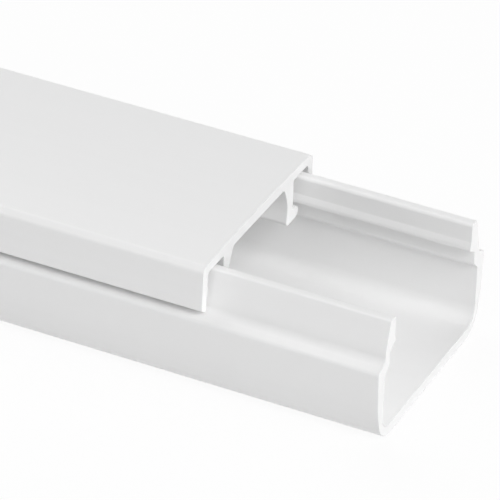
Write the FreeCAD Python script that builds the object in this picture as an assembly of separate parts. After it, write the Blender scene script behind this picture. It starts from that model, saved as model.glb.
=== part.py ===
import FreeCAD, Part

import math
import os

# Cord cover raceway: a wall channel and its clip-on cover, each one straight length of extruded PVC.
# +X runs along the length, +Y across it and +Z up, away from the wall.
# The origin is the middle of the channel's flat back face.
# All sizes are in millimetres, and both sections are symmetrical about the XZ plane.

# Overall sizes
length = 400.0                # each stick, sold cut to this length
base_width = 25.0             # over the channel's side walls, just below the ledges
total_height = 15.0           # back face to the middle of the cover's top
cover_set_back = 18.9         # how far the cover's end lies behind the channel's end

# Channel floor and side walls
floor_thickness = 1.2
wall_thickness = 1.5          # at the ledge
foot_inset = 1.25             # how far the wall's foot lies inside its widest part
belly_inset = 0.2             # the same at the gentle bend part of the way up
belly_place = 0.5             # where that bend lies, as a share of the wall's height
outer_foot_radius = 2.85
inner_foot_radius = 1.6
belly_radius = 12.0

# Ledge that carries the edge of the cover
ledge_width = 1.46
ledge_angle = 23.0            # degrees, falling outward
ledge_corner_radius = 0.45
ledge_root_radius = 0.9

# Neck and barbed lip above the ledge
neck_thickness = 1.04
neck_height = 1.0             # straight outer face of the neck, above the ledge
neck_drop = 0.9               # how far the neck's inner face reaches below the top of the ledge
shoulder_drop = 0.9           # height of the slope from the neck to the inner wall
shoulder_radius = 0.4
lip_lean = 0.94               # how far the lip's outer face leans in at the top
lip_bend_radius = 4.0
lip_outer_radius = 0.3
lip_inner_radius = 0.4
barb_reach = 1.2              # the barb's tip beyond the neck's inner face
barb_height = 3.0             # the barb's tip below the top of the lip
barb_land = 0.35              # height of the barb's face above its tip
barb_ramp_height = 0.6        # the ramp from the lip's inner face out to the barb's face
barb_ramp_depth = 0.2
barb_crease_radius = 0.15
barb_land_radius = 0.5
barb_undercut = 0.7           # fall of the barb's underside from tip to neck
barb_tip_radius = 0.28
barb_root_radius = 0.3

# Cover plate and skirt
plate_thickness = 1.25
crown_height = 0.25           # how far the plate's top falls from its middle to its bevelled edges
edge_bevel_width = 0.65
edge_bevel_drop = 0.5
edge_bevel_radius = 0.45      # rounds both sides of the bevel
skirt_depth = 5.65            # top of the cover to the skirt's lower edge
skirt_thickness = 0.95
skirt_lean = 0.2              # how much wider the skirt stands outside at its lower edge
skirt_inner_lean = 0.28
skirt_bend_drop = 1.7         # top of the cover to where the skirt starts to lean
skirt_bend_radius = 8.0
skirt_bevel = 0.6             # the skirt's lower edge rises by this much to the outside
skirt_tip_radius = 0.18
skirt_root_radius = 0.5

# Hooked legs under the plate
leg_waist = 1.08              # thickness at the leg's thinnest place
leg_waist_drop = 2.3          # how far that place lies below the plate
leg_flare = 1.05              # extra thickness at the leg's root, on its inner side
leg_root_radius = 0.6
leg_bend_radius = 4.0
hook_grip = 0.3               # how far the hook reaches behind the barb's tip
hook_height = 1.25
hook_heel = 0.4               # how far the hook stands proud of the leg's waist, on its inner side
hook_toe_radius = 0.55
hook_sole_radius = 0.7
hook_heel_radius = 0.5
notch_radius = 0.2

# Clearances between the two pieces
side_play = 0.41              # skirt's inner face to neck
seam_gap = 0.15               # skirt's lower edge to ledge
lip_play = 0.15               # lip's top to the underside of the plate
catch_play = 0.35             # hook's top to the barb's tip
leg_play = 1.0                # leg's outer face to the barb's tip

# Limits under which a corner counts as straight and two points as one
straight_turn = 0.02          # degrees
same_place = 1e-6


def rounded_face(half_corners):
    """Face in the YZ plane from the right half's corners (y, z, radius), bottom or top centre first.

    The first and last corners lie on the centre line. The left half is the mirror of the right.
    Each corner with a radius becomes an arc tangent to both of its sides.
    """
    mirrored = [(-y, z, radius) for y, z, radius in reversed(half_corners) if y > 0]
    corners = half_corners + mirrored
    spans = []
    for index, (y, z, radius) in enumerate(corners):
        here = FreeCAD.Vector(0, y, z)
        before = FreeCAD.Vector(0, *corners[index - 1][:2]) - here
        after = FreeCAD.Vector(0, *corners[(index + 1) % len(corners)][:2]) - here
        half_angle = before.getAngle(after) / 2
        turn = math.pi - 2 * half_angle
        if radius == 0 or turn < math.radians(straight_turn):
            spans.append((here, here, here))
            continue
        before.normalize()
        after.normalize()
        tangent_length = radius / math.tan(half_angle)
        middle_reach = radius / math.sin(half_angle) - radius
        bisector = (before + after).normalize()
        start = here + before * tangent_length
        middle = here + bisector * middle_reach
        end = here + after * tangent_length
        spans.append((start, middle, end))
    edges = []
    for index, (start, middle, end) in enumerate(spans):
        previous_end = spans[index - 1][2]
        if previous_end.distanceToPoint(start) > same_place:
            edges.append(Part.makeLine(previous_end, start))
        if start.distanceToPoint(end) > same_place:
            edges.append(Part.Arc(start, middle, end).toShape())
    return Part.Face(Part.Wire(edges))


def stick(face, end_x):
    """One straight length of the given section, with its visible end at end_x."""
    placed = face.translated(FreeCAD.Vector(end_x - length, 0, 0))
    return placed.extrude(FreeCAD.Vector(length, 0, 0))


# Heights and half widths that both pieces share
plate_underside = total_height - plate_thickness
lip_top = plate_underside - lip_play
barb_tip_z = lip_top - barb_height
skirt_bottom = total_height - skirt_depth
ledge_slope = math.tan(math.radians(ledge_angle))
ledge_top = skirt_bottom - seam_gap + side_play * ledge_slope
neck_outer = base_width / 2 - ledge_width
neck_inner = neck_outer - neck_thickness
barb_tip_y = neck_inner - barb_reach


def base_channel():
    """Trough with a ledge and a barbed lip along each side."""
    wall_outer = base_width / 2
    wall_inner = wall_outer - wall_thickness
    ledge_corner_z = ledge_top - ledge_width * ledge_slope
    neck_foot = ledge_top - neck_drop
    lip_inner = barb_tip_y + barb_ramp_depth
    barb_face_top = barb_tip_z + barb_land
    return rounded_face([
        (0, 0, 0),
        (wall_outer - foot_inset, 0, outer_foot_radius),
        (wall_outer - belly_inset, ledge_corner_z * belly_place, belly_radius),
        (wall_outer, ledge_corner_z, ledge_corner_radius),
        (neck_outer, ledge_top, ledge_root_radius),
        (neck_outer, ledge_top + neck_height, lip_bend_radius),
        (neck_outer - lip_lean, lip_top, lip_outer_radius),
        (lip_inner, lip_top, lip_inner_radius),
        (lip_inner, barb_face_top + barb_ramp_height, barb_crease_radius),
        (barb_tip_y, barb_face_top, barb_land_radius),
        (barb_tip_y, barb_tip_z, barb_tip_radius),
        (neck_inner, barb_tip_z - barb_undercut, barb_root_radius),
        (neck_inner, neck_foot, shoulder_radius),
        (wall_inner, neck_foot - shoulder_drop, shoulder_radius),
        (wall_inner, floor_thickness, inner_foot_radius),
        (0, floor_thickness, 0),
    ])


def cover():
    """Crowned plate with a skirt along each edge and two hooked legs between them."""
    skirt_inner = neck_outer + side_play
    skirt_outer = skirt_inner + skirt_thickness
    shoulder = skirt_outer - skirt_lean

    # The crown is one wide arc over the middle that runs out straight to the bevels
    bevel_start = shoulder - edge_bevel_width
    crown_half = bevel_start - edge_bevel_radius
    crown_radius = (crown_half ** 2 + crown_height ** 2) / (2 * crown_height)
    crown_slope = math.tan(math.asin(crown_half / crown_radius))
    ridge = total_height - crown_height + crown_half * crown_slope
    bevel_top = ridge - bevel_start * crown_slope

    leg_outer = barb_tip_y - leg_play
    leg_inner = leg_outer - leg_waist
    hook_toe = barb_tip_y + hook_grip
    hook_top = barb_tip_z - catch_play
    hook_bottom = hook_top - hook_height
    return rounded_face([
        (0, plate_underside, 0),
        (leg_inner - leg_flare, plate_underside, leg_root_radius),
        (leg_inner, plate_underside - leg_waist_drop, leg_bend_radius),
        (leg_inner - hook_heel, hook_bottom, hook_heel_radius),
        (hook_toe, hook_bottom, hook_sole_radius),
        (hook_toe, hook_top, hook_toe_radius),
        (leg_outer, hook_top, notch_radius),
        (leg_outer, plate_underside, notch_radius),
        (skirt_inner - skirt_inner_lean, plate_underside, skirt_root_radius),
        (skirt_inner, skirt_bottom, skirt_tip_radius),
        (skirt_outer, skirt_bottom + skirt_bevel, skirt_tip_radius),
        (shoulder, total_height - skirt_bend_drop, skirt_bend_radius),
        (shoulder, bevel_top - edge_bevel_drop, edge_bevel_radius),
        (bevel_start, bevel_top, edge_bevel_radius),
        (0, ridge, crown_radius),
    ])


os.makedirs("parts", exist_ok=True)
stick(base_channel(), length / 2).exportStep("parts/base_channel.step")
stick(cover(), length / 2 - cover_set_back).exportStep("parts/cover.step")
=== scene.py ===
import math

import bpy
import numpy as np
from mathutils import Matrix, Vector


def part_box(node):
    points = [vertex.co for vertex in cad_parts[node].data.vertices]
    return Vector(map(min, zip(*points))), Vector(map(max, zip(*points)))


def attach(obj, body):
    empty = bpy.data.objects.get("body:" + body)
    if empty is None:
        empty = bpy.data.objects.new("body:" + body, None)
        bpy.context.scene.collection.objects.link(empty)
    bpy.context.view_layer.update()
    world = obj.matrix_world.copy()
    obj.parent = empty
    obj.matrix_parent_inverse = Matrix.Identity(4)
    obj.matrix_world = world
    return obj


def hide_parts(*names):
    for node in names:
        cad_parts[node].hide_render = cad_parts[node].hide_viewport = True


# A cord cover raceway: a wall channel and its clip-on cover, two sticks of extruded white PVC.
# The cover stands back from the channel's end, which shows how the two sections grip each other.

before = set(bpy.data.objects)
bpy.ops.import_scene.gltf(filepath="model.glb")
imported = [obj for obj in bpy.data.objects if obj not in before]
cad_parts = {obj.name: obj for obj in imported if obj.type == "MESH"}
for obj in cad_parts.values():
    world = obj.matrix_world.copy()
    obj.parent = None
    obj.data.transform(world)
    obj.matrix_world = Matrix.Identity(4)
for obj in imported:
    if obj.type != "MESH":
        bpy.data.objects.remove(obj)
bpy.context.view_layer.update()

# Sizes of the two sections, in metres, the same as those of the solids
MM = 0.001
BASE_WIDTH = 25.0 * MM
TOTAL_HEIGHT = 15.0 * MM

# Channel floor and side walls
FLOOR_THICKNESS = 1.2 * MM
WALL_THICKNESS = 1.5 * MM
FOOT_INSET = 1.25 * MM
BELLY_INSET = 0.2 * MM
BELLY_PLACE = 0.5
OUTER_FOOT_RADIUS = 2.85 * MM
INNER_FOOT_RADIUS = 1.6 * MM
BELLY_RADIUS = 12.0 * MM

# Ledge that carries the edge of the cover
LEDGE_WIDTH = 1.46 * MM
LEDGE_SLOPE = math.tan(math.radians(23.0))
LEDGE_CORNER_RADIUS = 0.45 * MM
LEDGE_ROOT_RADIUS = 0.9 * MM

# Neck and barbed lip above the ledge
NECK_THICKNESS = 1.04 * MM
NECK_HEIGHT = 1.0 * MM
NECK_DROP = 0.9 * MM
SHOULDER_DROP = 0.9 * MM
SHOULDER_RADIUS = 0.4 * MM
LIP_LEAN = 0.94 * MM
LIP_BEND_RADIUS = 4.0 * MM
LIP_OUTER_RADIUS = 0.3 * MM
LIP_INNER_RADIUS = 0.4 * MM
BARB_REACH = 1.2 * MM
BARB_HEIGHT = 3.0 * MM
BARB_LAND = 0.35 * MM
BARB_RAMP_HEIGHT = 0.6 * MM
BARB_RAMP_DEPTH = 0.2 * MM
BARB_CREASE_RADIUS = 0.15 * MM
BARB_LAND_RADIUS = 0.5 * MM
BARB_UNDERCUT = 0.7 * MM
BARB_TIP_RADIUS = 0.28 * MM
BARB_ROOT_RADIUS = 0.3 * MM

# Cover plate and skirt
PLATE_THICKNESS = 1.25 * MM
CROWN_HEIGHT = 0.25 * MM
EDGE_BEVEL_WIDTH = 0.65 * MM
EDGE_BEVEL_DROP = 0.5 * MM
EDGE_BEVEL_RADIUS = 0.45 * MM
SKIRT_DEPTH = 5.65 * MM
SKIRT_THICKNESS = 0.95 * MM
SKIRT_LEAN = 0.2 * MM
SKIRT_INNER_LEAN = 0.28 * MM
SKIRT_BEND_DROP = 1.7 * MM
SKIRT_BEND_RADIUS = 8.0 * MM
SKIRT_BEVEL = 0.6 * MM
SKIRT_TIP_RADIUS = 0.18 * MM
SKIRT_ROOT_RADIUS = 0.5 * MM

# Hooked legs under the plate
LEG_WAIST = 1.08 * MM
LEG_WAIST_DROP = 2.3 * MM
LEG_FLARE = 1.05 * MM
LEG_ROOT_RADIUS = 0.6 * MM
LEG_BEND_RADIUS = 4.0 * MM
HOOK_GRIP = 0.3 * MM
HOOK_HEIGHT = 1.25 * MM
HOOK_HEEL = 0.4 * MM
HOOK_TOE_RADIUS = 0.55 * MM
HOOK_SOLE_RADIUS = 0.7 * MM
HOOK_HEEL_RADIUS = 0.5 * MM
NOTCH_RADIUS = 0.2 * MM

# Clearances between the two pieces
SIDE_PLAY = 0.41 * MM
SEAM_GAP = 0.15 * MM
LIP_PLAY = 0.15 * MM
CATCH_PLAY = 0.35 * MM
LEG_PLAY = 1.0 * MM

# How finely the sections are drawn, and how the sawn ends' edges are broken
ARC_STEPS = 12
SAME_PLACE = 0.001 * MM         # points that lie nearer to each other are one point
EDGE_BREAK = 0.07 * MM
EDGE_BREAK_STEPS = 4
STATION_SPACING = 20.0 * MM

# Heights and half widths that both sections share
PLATE_UNDERSIDE = TOTAL_HEIGHT - PLATE_THICKNESS
LIP_TOP = PLATE_UNDERSIDE - LIP_PLAY
BARB_TIP_Z = LIP_TOP - BARB_HEIGHT
SKIRT_BOTTOM = TOTAL_HEIGHT - SKIRT_DEPTH
LEDGE_TOP = SKIRT_BOTTOM - SEAM_GAP + SIDE_PLAY * LEDGE_SLOPE
NECK_OUTER = BASE_WIDTH / 2 - LEDGE_WIDTH
NECK_INNER = NECK_OUTER - NECK_THICKNESS
BARB_TIP_Y = NECK_INNER - BARB_REACH

# The camera, as the photograph shows the channel's open end: angles in degrees, places in its pixels
PHOTO_SIZE = 500
CAMERA_AZIMUTH = 25.10
CAMERA_ELEVATION = 32.98
CAMERA_ROLL = 1.90
FOCAL_PIXELS = 4496.0
SENSOR_WIDTH = 36.0             # in millimetres, as Blender gives it
END_PIXEL = (428.76, 378.39)
END_DISTANCE = 0.4407           # in metres, along the camera's line of sight
END_HEIGHT = 0.85 * MM          # height above the back face of the point that is seen at END_PIXEL


def channel_corners():
    """Right half of the channel's section, from the foot round the barbed lip to the floor.

    Each corner is its y, its z and the radius that rounds it, here and in the cover's section.
    """
    wall_outer = BASE_WIDTH / 2
    wall_inner = wall_outer - WALL_THICKNESS
    ledge_corner = LEDGE_TOP - LEDGE_WIDTH * LEDGE_SLOPE
    neck_foot = LEDGE_TOP - NECK_DROP
    lip_inner = BARB_TIP_Y + BARB_RAMP_DEPTH
    barb_face_top = BARB_TIP_Z + BARB_LAND
    return [
        (wall_outer - FOOT_INSET, 0, OUTER_FOOT_RADIUS),
        (wall_outer - BELLY_INSET, ledge_corner * BELLY_PLACE, BELLY_RADIUS),
        (wall_outer, ledge_corner, LEDGE_CORNER_RADIUS),
        (NECK_OUTER, LEDGE_TOP, LEDGE_ROOT_RADIUS),
        (NECK_OUTER, LEDGE_TOP + NECK_HEIGHT, LIP_BEND_RADIUS),
        (NECK_OUTER - LIP_LEAN, LIP_TOP, LIP_OUTER_RADIUS),
        (lip_inner, LIP_TOP, LIP_INNER_RADIUS),
        (lip_inner, barb_face_top + BARB_RAMP_HEIGHT, BARB_CREASE_RADIUS),
        (BARB_TIP_Y, barb_face_top, BARB_LAND_RADIUS),
        (BARB_TIP_Y, BARB_TIP_Z, BARB_TIP_RADIUS),
        (NECK_INNER, BARB_TIP_Z - BARB_UNDERCUT, BARB_ROOT_RADIUS),
        (NECK_INNER, neck_foot, SHOULDER_RADIUS),
        (wall_inner, neck_foot - SHOULDER_DROP, SHOULDER_RADIUS),
        (wall_inner, FLOOR_THICKNESS, INNER_FOOT_RADIUS),
    ]


def cover_corners():
    """Right half of the cover's section, from the leg's root round the hook and skirt to the crown."""
    skirt_inner = NECK_OUTER + SIDE_PLAY
    skirt_outer = skirt_inner + SKIRT_THICKNESS
    shoulder = skirt_outer - SKIRT_LEAN
    bevel_start = shoulder - EDGE_BEVEL_WIDTH
    crown_half = bevel_start - EDGE_BEVEL_RADIUS
    crown_radius = (crown_half ** 2 + CROWN_HEIGHT ** 2) / (2 * CROWN_HEIGHT)
    crown_slope = math.tan(math.asin(crown_half / crown_radius))
    ridge = TOTAL_HEIGHT - CROWN_HEIGHT + crown_half * crown_slope
    bevel_top = ridge - bevel_start * crown_slope
    leg_outer = BARB_TIP_Y - LEG_PLAY
    leg_inner = leg_outer - LEG_WAIST
    hook_toe = BARB_TIP_Y + HOOK_GRIP
    hook_top = BARB_TIP_Z - CATCH_PLAY
    hook_bottom = hook_top - HOOK_HEIGHT
    return [
        (leg_inner - LEG_FLARE, PLATE_UNDERSIDE, LEG_ROOT_RADIUS),
        (leg_inner, PLATE_UNDERSIDE - LEG_WAIST_DROP, LEG_BEND_RADIUS),
        (leg_inner - HOOK_HEEL, hook_bottom, HOOK_HEEL_RADIUS),
        (hook_toe, hook_bottom, HOOK_SOLE_RADIUS),
        (hook_toe, hook_top, HOOK_TOE_RADIUS),
        (leg_outer, hook_top, NOTCH_RADIUS),
        (leg_outer, PLATE_UNDERSIDE, NOTCH_RADIUS),
        (skirt_inner - SKIRT_INNER_LEAN, PLATE_UNDERSIDE, SKIRT_ROOT_RADIUS),
        (skirt_inner, SKIRT_BOTTOM, SKIRT_TIP_RADIUS),
        (skirt_outer, SKIRT_BOTTOM + SKIRT_BEVEL, SKIRT_TIP_RADIUS),
        (shoulder, TOTAL_HEIGHT - SKIRT_BEND_DROP, SKIRT_BEND_RADIUS),
        (shoulder, bevel_top - EDGE_BEVEL_DROP, EDGE_BEVEL_RADIUS),
        (bevel_start, bevel_top, EDGE_BEVEL_RADIUS),
        (0, ridge, crown_radius),
    ]


def unit(vectors):
    """Each row at length one."""
    return vectors / np.linalg.norm(vectors, axis=-1, keepdims=True)


def rounded_outline(half_corners):
    """Closed outline of a section, anticlockwise seen from +X, and its outward normals.

    The left half mirrors the right. At each corner the arc's centre lies on the bisector, at the radius
    over the sine of the half angle. The arc's points swing from one tangent point to the other in equal
    angles, as a spherical blend of the two arms. A point that two arcs share is kept once.
    """
    right = np.array(half_corners, float)
    left = right[::-1] * (-1, 1, 1)
    corners = np.concatenate([right, left[left[:, 0] < 0]])
    place, radius = corners[:, :2], corners[:, 2:]
    back = unit(np.roll(place, 1, axis=0) - place)
    onward = unit(np.roll(place, -1, axis=0) - place)
    half_angle = np.arccos(np.sum(back * onward, axis=1, keepdims=True)) / 2
    centre = place + unit(back + onward) * radius / np.sin(half_angle)
    first_arm = place + back * radius / np.tan(half_angle) - centre
    last_arm = place + onward * radius / np.tan(half_angle) - centre
    turn = (math.pi - 2 * half_angle)[:, None]
    share = np.linspace(0, 1, ARC_STEPS)[None, :, None]
    arms = (np.sin((1 - share) * turn) * first_arm[:, None]
            + np.sin(share * turn) * last_arm[:, None]) / np.sin(turn)
    convex = np.sign(back[:, 1] * onward[:, 0] - back[:, 0] * onward[:, 1])[:, None, None]
    points = (centre[:, None] + arms).reshape(-1, 2)
    normals = (convex * arms / radius[:, None]).reshape(-1, 2)
    apart = np.linalg.norm(points - np.roll(points, 1, axis=0), axis=1) > SAME_PLACE
    return points[apart], normals[apart]


def stick(name, half_corners, low_x, high_x):
    """Surface of one stick: its outline carried along X, shrunk round both ends to break the sawn edges.

    At each end the outline moves in along its normals by the edge break times one minus the sine of an
    angle, while X runs on by one minus its cosine, so the edge is a quarter round. Both ends are closed.
    """
    outline, outward = rounded_outline(half_corners)
    angle = np.linspace(0, math.pi / 2, EDGE_BREAK_STEPS)
    middle_count = round((high_x - low_x) / STATION_SPACING)
    middle = np.linspace(low_x + EDGE_BREAK, high_x - EDGE_BREAK, middle_count)[1:-1]
    low_end = low_x + EDGE_BREAK * (1 - np.cos(angle))
    high_end = high_x - EDGE_BREAK * (1 - np.cos(angle[::-1]))
    station = np.concatenate([low_end, middle, high_end])
    lean = np.concatenate([angle, np.full(len(middle), math.pi / 2), math.pi - angle[::-1]])
    inset = EDGE_BREAK * (1 - np.sin(lean))

    rows, columns = len(station), len(outline)
    surface = np.empty((rows, columns, 3))
    surface[..., 0] = station[:, None]
    surface[..., 1:] = outline - inset[:, None, None] * outward
    normals = np.empty((rows, columns, 3))
    normals[..., 0] = -np.cos(lean)[:, None]
    normals[..., 1:] = np.sin(lean)[:, None, None] * outward

    index = np.arange(rows * columns).reshape(rows, columns)
    ahead = np.roll(index, -1, axis=1)
    sides = np.stack([index[:-1], ahead[:-1], ahead[1:], index[1:]], axis=-1).reshape(-1, 4)
    faces = sides.tolist() + [index[0, ::-1].tolist(), index[-1].tolist()]
    mesh = bpy.data.meshes.new(name)
    mesh.from_pydata(surface.reshape(-1, 3).tolist(), [], faces)
    mesh.polygons.foreach_set("use_smooth", np.ones(len(faces), bool))

    # The last two faces are the sawn ends, which are shaded flat
    corner_vertex = np.empty(len(mesh.loops), int)
    mesh.loops.foreach_get("vertex_index", corner_vertex)
    corner_normals = normals.reshape(-1, 3)[corner_vertex]
    corner_normals[-2 * columns:-columns] = (-1, 0, 0)
    corner_normals[-columns:] = (1, 0, 0)
    mesh.normals_split_custom_set(corner_normals.tolist())
    mesh.update()
    piece = bpy.data.objects.new(name, mesh)
    bpy.context.scene.collection.objects.link(piece)
    return piece


class Socket:
    """A shader value for use in plain sums: each operator adds the Math node that works it out."""

    def __init__(self, nodes, output):
        self.nodes = nodes
        self.output = output

    def combine(self, operation, first, second):
        return self.nodes.add("ShaderNodeMath", {"operation": operation}, {0: first, 1: second})

    def __add__(self, other):
        return self.combine("ADD", self, other)

    def __sub__(self, other):
        return self.combine("SUBTRACT", self, other)

    def __rsub__(self, other):
        return self.combine("SUBTRACT", other, self)

    def __mul__(self, other):
        return self.combine("MULTIPLY", self, other)

    def __gt__(self, other):
        return self.combine("GREATER_THAN", self, other)

    def __lt__(self, other):
        return self.combine("LESS_THAN", self, other)

    def or_greater(self, other):
        return self.combine("MAXIMUM", self, other)

    __radd__ = __add__
    __rmul__ = __mul__


class Nodes:
    """The node tree of a material or world, emptied, and one method that adds any node to it."""

    def __init__(self, owner):
        owner.use_nodes = True
        self.tree = owner.node_tree
        self.tree.nodes.clear()

    def add(self, kind, settings=None, inputs=None, output=0):
        """Adds a node, sets its settings, then its sockets' values or links, and returns one output."""
        made = self.tree.nodes.new(kind)
        for key, value in (settings or {}).items():
            setattr(made, key, value)
        for key, value in (inputs or {}).items():
            if isinstance(value, Socket):
                self.tree.links.new(value.output, made.inputs[key])
            else:
                made.inputs[key].default_value = value
        if made.outputs:
            return Socket(self, made.outputs[output])


# The plastic: its tone and gloss, the scale of each pattern in repeats per metre, and the relief's depth
PVC_WHITE = 0.90
SAWN_PAINTED_SHADE = 0.17            # how much darker the sawn ends are painted than the extruded skin: painted shade that tempers the strong light on the ends
PVC_TONE_CHANGE = 0.012         # of the clouds in the resin, and the same again of the die lines
PVC_ROUGHNESS = 0.42
PVC_ROUGHNESS_CHANGE = 0.10
PVC_IOR = 1.53
DIE_LINES = (6.0, 1500.0, 1500.0)        # long along the stick, fine across it
GRAIN = (2600.0, 2600.0, 2600.0)
CLOUDS = (14.0, 60.0, 60.0)
SAW_MARKS = (900.0, 2600.0, 160.0)
SAW_ANGLE = math.radians(24.0)
LINE_DETAIL = 3.0               # octaves of noise in the die lines and the saw marks
SOFT_DETAIL = 2.0               # the same in the grain and the clouds
NOISE_ROUGHNESS = 0.55
NOISE_MIDDLE = 0.5
GRAIN_SHARE = 0.5               # height of the grain beside that of the die lines
DIE_LINE_DEPTH = 0.006 * MM
SAW_MARK_DEPTH = 0.02 * MM


def pvc(name, low_x, high_x):
    """Extruded white PVC: faint die lines along X, a fine grain, and fine saw marks on the two ends,
    which also get painted shade.
    """
    material = bpy.data.materials.new(name)
    nodes = Nodes(material)
    place = nodes.add("ShaderNodeTexCoord", output="Object")

    def noise(scale, detail, turn=0.0):
        """Noise that is stretched by its own scale on each axis and turned about X."""
        stretched = nodes.add("ShaderNodeMapping", inputs={
            "Vector": place, "Scale": scale, "Rotation": (turn, 0.0, 0.0)})
        return nodes.add("ShaderNodeTexNoise", inputs={
            "Vector": stretched, "Scale": 1.0, "Detail": detail, "Roughness": NOISE_ROUGHNESS})

    die_lines = noise(DIE_LINES, LINE_DETAIL)
    grain = noise(GRAIN, SOFT_DETAIL)
    clouds = noise(CLOUDS, SOFT_DETAIL)
    saw_marks = noise(SAW_MARKS, LINE_DETAIL, SAW_ANGLE)
    along = nodes.add("ShaderNodeSeparateXYZ", inputs={0: place}, output="X")
    sawn = (along > high_x - EDGE_BREAK / 2) + (along < low_x + EDGE_BREAK / 2)

    skin_tone = (PVC_WHITE + (clouds - NOISE_MIDDLE) * PVC_TONE_CHANGE
                 + (die_lines - NOISE_MIDDLE) * PVC_TONE_CHANGE)
    # The sawn ends' colour is painted darker, as painted shade against the strong light that falls on the
    # ends
    tone = skin_tone - sawn * SAWN_PAINTED_SHADE
    colour = nodes.add("ShaderNodeCombineColor", inputs={0: tone, 1: tone, 2: tone})
    roughness = (PVC_ROUGHNESS + (grain - NOISE_MIDDLE) * PVC_ROUGHNESS_CHANGE
                 + sawn * PVC_ROUGHNESS_CHANGE)
    skin = (die_lines + grain * GRAIN_SHARE) * DIE_LINE_DEPTH
    height = skin * (1 - sawn) + saw_marks * sawn * SAW_MARK_DEPTH

    # The height is in metres, so the bump takes it whole
    relief = nodes.add("ShaderNodeBump", inputs={"Height": height, "Strength": 1.0, "Distance": 1.0},
                       output="Normal")
    surface = nodes.add("ShaderNodeBsdfPrincipled", inputs={
        "Base Color": colour, "Roughness": roughness, "IOR": PVC_IOR, "Normal": relief})
    nodes.add("ShaderNodeOutputMaterial", inputs={"Surface": surface})
    return material


def raceway():
    """The two sticks, each in place of its own solid and on its body."""
    for node, body, slot, corners in (
        ("base_channel", "channel", "channel_pvc", channel_corners()),
        ("cover", "lid", "cover_pvc", cover_corners()),
    ):
        low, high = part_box(node)
        piece = stick(node + "_stick", corners, low.x, high.x)
        piece.data.materials.append(pvc(slot, low.x, high.x))
        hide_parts(node)
        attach(piece, body)


# The white floor and surround
WHITE = (1.0, 1.0, 1.0, 1.0)
FLOOR_HALF_SIZE = 6.0
FLOOR_COLOUR = (0.95, 0.95, 0.95, 1.0)
BACKDROP_SHARE = 0.93           # how much of the floor's look is plain white backdrop, the rest is lit
WORLD_LIGHT = 0.10


def seen_directly(nodes):
    """1 for rays from the camera, a mirror or glass, and 0 for those that carry light."""
    camera, glossy, transmission = (
        nodes.add("ShaderNodeLightPath", output=name)
        for name in ("Is Camera Ray", "Is Glossy Ray", "Is Transmission Ray"))
    return camera.or_greater(glossy).or_greater(transmission)


def white_floor():
    """A wide white table top that fades into a white backdrop and keeps the object's soft shadow."""
    mesh = bpy.data.meshes.new("floor")
    half = FLOOR_HALF_SIZE
    corners = [(-half, -half, 0), (half, -half, 0), (half, half, 0), (-half, half, 0)]
    mesh.from_pydata(corners, [], [(0, 1, 2, 3)])
    floor = bpy.data.objects.new("floor", mesh)
    bpy.context.scene.collection.objects.link(floor)
    material = bpy.data.materials.new("floor_white")
    nodes = Nodes(material)
    lit = nodes.add("ShaderNodeBsdfDiffuse", inputs={"Color": FLOOR_COLOUR})
    plain = nodes.add("ShaderNodeEmission", inputs={"Color": WHITE, "Strength": 1.0})
    share = seen_directly(nodes) * BACKDROP_SHARE
    mixed = nodes.add("ShaderNodeMixShader", inputs={0: share, 1: lit, 2: plain})
    nodes.add("ShaderNodeOutputMaterial", inputs={"Surface": mixed})
    mesh.materials.append(material)


def white_world():
    """An even white surround: full white where it is seen, and a soft fill where it lights."""
    world = bpy.data.worlds.new("surround")
    nodes = Nodes(world)
    fill = nodes.add("ShaderNodeBackground", inputs={"Color": WHITE, "Strength": WORLD_LIGHT})
    white = nodes.add("ShaderNodeBackground", inputs={"Color": WHITE, "Strength": 1.0})
    mixed = nodes.add("ShaderNodeMixShader", inputs={0: seen_directly(nodes), 1: fill, 2: white})
    nodes.add("ShaderNodeOutputWorld", inputs={"Surface": mixed})
    bpy.context.scene.world = world


# Soft boxes: name, azimuth and elevation in degrees, distance and size in metres, power in watts
SOFT_BOXES = (
    ("end_low", 80.0, 20.0, 1.2, 0.8, 7.3),
    ("right_low", 60.0, 10.0, 1.2, 0.3, 1.8),
    ("right_high", 60.0, 45.0, 1.2, 0.5, 6.4),
    ("front_left", -30.0, 45.0, 1.2, 0.8, 0.9),
    ("back_left", 240.0, 50.0, 1.2, 0.8, 4.9),
)


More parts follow.
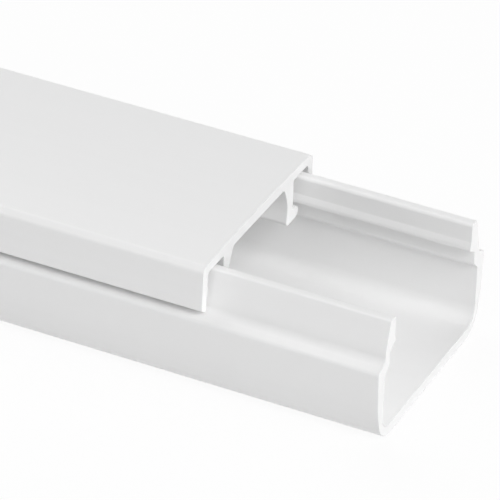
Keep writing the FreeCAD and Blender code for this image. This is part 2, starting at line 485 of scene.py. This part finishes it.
def direction(azimuth, elevation):
    """Unit vector at two angles in degrees. Azimuth 0 is -Y, and 90 is +X, off the channel's open end."""
    turn, rise = math.radians(azimuth), math.radians(elevation)
    return Vector((math.sin(turn) * math.cos(rise), -math.cos(turn) * math.cos(rise), math.sin(rise)))


def soft_boxes():
    """Square area lamps that look at the channel's open end."""
    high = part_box("base_channel")[1]
    target = Vector((high.x, 0, high.z / 2))
    for name, azimuth, elevation, distance, size, power in SOFT_BOXES:
        away = direction(azimuth, elevation)
        lamp = bpy.data.lights.new(name, "AREA")
        lamp.shape = "SQUARE"
        lamp.size = size
        lamp.energy = power
        holder = bpy.data.objects.new(name, lamp)
        holder.location = target + away * distance
        holder.rotation_euler = away.to_track_quat("Z", "Y").to_euler()
        bpy.context.scene.collection.objects.link(holder)


def camera():
    """A pinhole at the photograph's angles, placed so that the channel's end falls on its own pixel."""
    azimuth = math.radians(CAMERA_AZIMUTH)
    roll = math.radians(CAMERA_ROLL)
    back = direction(CAMERA_AZIMUTH, CAMERA_ELEVATION)
    level = Vector((math.cos(azimuth), math.sin(azimuth), 0))
    upright = back.cross(level)
    right = math.cos(roll) * level + math.sin(roll) * upright
    up = math.cos(roll) * upright - math.sin(roll) * level
    centre = PHOTO_SIZE / 2
    aside = (END_PIXEL[0] - centre) * END_DISTANCE / FOCAL_PIXELS
    below = (END_PIXEL[1] - centre) * END_DISTANCE / FOCAL_PIXELS
    end = Vector((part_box("base_channel")[1].x, 0, END_HEIGHT))
    lens = bpy.data.cameras.new("camera")
    lens.sensor_width = SENSOR_WIDTH
    lens.lens = FOCAL_PIXELS / PHOTO_SIZE * SENSOR_WIDTH
    holder = bpy.data.objects.new("camera", lens)
    eye = end - right * aside + up * below + back * END_DISTANCE
    turned = Matrix((right, up, back)).transposed().to_4x4()
    holder.matrix_world = Matrix.Translation(eye) @ turned
    bpy.context.scene.collection.objects.link(holder)
    bpy.context.scene.camera = holder


raceway()
white_floor()
white_world()
soft_boxes()
camera()
bpy.context.scene.view_settings.view_transform = "Standard"
